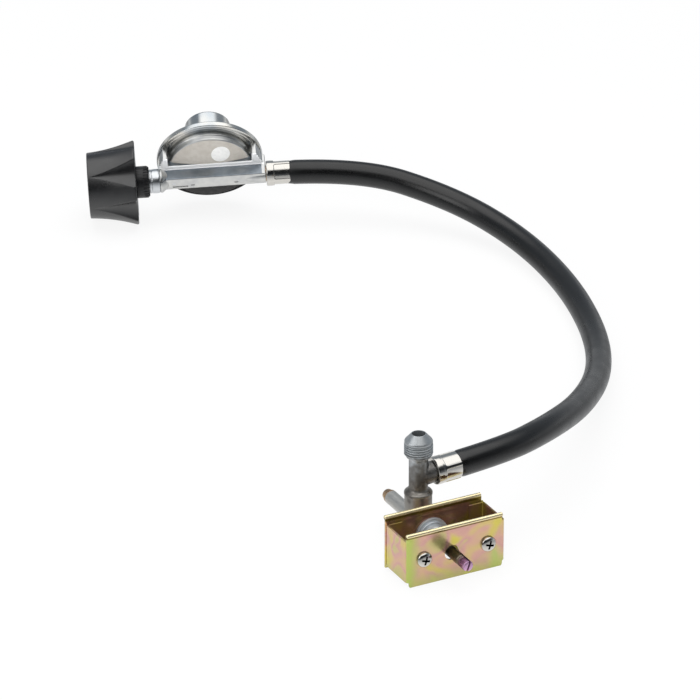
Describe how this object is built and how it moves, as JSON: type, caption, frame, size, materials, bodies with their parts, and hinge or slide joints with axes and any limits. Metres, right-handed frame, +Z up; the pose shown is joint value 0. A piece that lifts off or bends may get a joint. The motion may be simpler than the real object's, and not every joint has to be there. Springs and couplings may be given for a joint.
{
  "type": "gas regulator with hose and valve",
  "caption": "Low-pressure gas regulator with a winged hand nut, a crimped rubber hose, and an angled gas valve with a flare fitting on a folded bracket.",
  "frame": {"origin": "on the table, under the middle of the box round everything but the hose", "axes": "+Z up; -Y out of the front panel of the valve's bracket, along its stem; +X along the bracket's width"},
  "size_m": [0.2704, 0.5514, 0.0701],
  "materials": {
    "nut_plastic": "satin moulded, charcoal black",
    "bush_plastic": "satin moulded, black",
    "nipple_steel": "bright nickel plate",
    "turned_brass": "turned, bright",
    "seal_rubber": "moulded, black",
    "spring_steel": "drawn wire",
    "cast_zinc": "die cast, fine grain",
    "bonnet_zinc": "die cast, smooth",
    "diaphragm_rubber": "fabric reinforced, matt",
    "pressed_steel": "pressed, zinc plated",
    "vent_mesh": "fine mesh",
    "plug_plastic": "moulded, off-white",
    "cap_plastic": "moulded, dark",
    "label_film": "gloss film, blank",
    "crimped_nickel": "mirror nickel on steel",
    "hose_rubber": "extruded, fine lengthwise lines",
    "valve_casting": "blasted die casting, matt",
    "dark_stem": "dark passivated steel, coloured tip",
    "gland_steel": "turned, bluish bright zinc",
    "yellow_zinc": "yellow chromate on zinc, iridescent",
    "screw_nickel": "bright nickel"
  },
  "bodies": {
    "regulator_and_hose": {"inlet_nipple": "nipple_steel", "nipple_nose": "turned_brass", "nose_seal": "seal_rubber", "limiter_spring": "spring_steel", "regulator_body": "cast_zinc", "inlet_orifice": "turned_brass", "lever_pin": "spring_steel", "diaphragm": "diaphragm_rubber", "main_spring": "spring_steel", "bonnet": "bonnet_zinc", "vent_screen": "vent_mesh", "adjusting_plug": "plug_plastic", "tower_cap": "cap_plastic", "label_disc": "label_film", "regulator_barb": "turned_brass", "regulator_ferrule": "crimped_nickel", "hose": "hose_rubber", "valve_ferrule": "crimped_nickel", "valve_barb": "crimped_nickel", "valve_body": "valve_casting", "outlet_spud": "turned_brass", "stem_spring": "spring_steel", "gland": "gland_steel", "bracket_front": "yellow_zinc", "bracket_rear": "yellow_zinc", "bracket_screws": "screw_nickel"},
    "nut": {"coupling_nut": "nut_plastic", "nut_collar": "bush_plastic"},
    "limiter": {"flow_limiter": "turned_brass"},
    "pressure_plate": {"diaphragm_plate": "pressed_steel", "diaphragm_post": "turned_brass"},
    "seat_lever": {"valve_lever": "pressed_steel", "seat_disc": "seal_rubber"},
    "plug": {"valve_plug": "turned_brass"},
    "stem": {"valve_stem": "dark_stem"}
  },
  "joints": [
    {"name": "nut_spin", "type": "hinge", "parent": "regulator_and_hose", "child": "nut", "pos_m": [-0.00917, 0.24661, 0.02535], "axis": [0.9087, -0.4141, 0.0523], "continuous": true},
    {"name": "limiter_slide", "type": "slide", "parent": "regulator_and_hose", "child": "limiter", "axis": [0.9087, -0.4141, 0.0523], "range_m": [0, 0.0015], "stiffness_N_per_m": 60, "deforming": ["limiter_spring"]},
    {"name": "diaphragm_stroke", "type": "slide", "parent": "regulator_and_hose", "child": "pressure_plate", "axis": [0.3557, 0.8339, 0.422], "range_m": [0, 0.0005], "stiffness_N_per_m": 2000, "deforming": ["main_spring", "diaphragm"]},
    {"name": "lever_turn", "type": "hinge", "parent": "regulator_and_hose", "child": "seat_lever", "pos_m": [0.04557, 0.22863, 0.03132], "axis": [0.2184, 0.3649, -0.9051], "range_deg": [0, 3.9]},
    {"name": "plug_turn", "type": "hinge", "parent": "regulator_and_hose", "child": "plug", "pos_m": [-0.05613, -0.2183, 0.0156], "axis": [0, -1, 0], "range_deg": [0, 180]},
    {"name": "stem_push", "type": "slide", "parent": "plug", "child": "stem", "axis": [0, 1, 0], "range_m": [0, 0.003], "stiffness_N_per_m": 1500, "deforming": ["stem_spring"]}
  ],
  "couplings": [
    {"joint": "lever_turn", "follows": "diaphragm_stroke", "rad_per_m": 133.33}
  ]
}
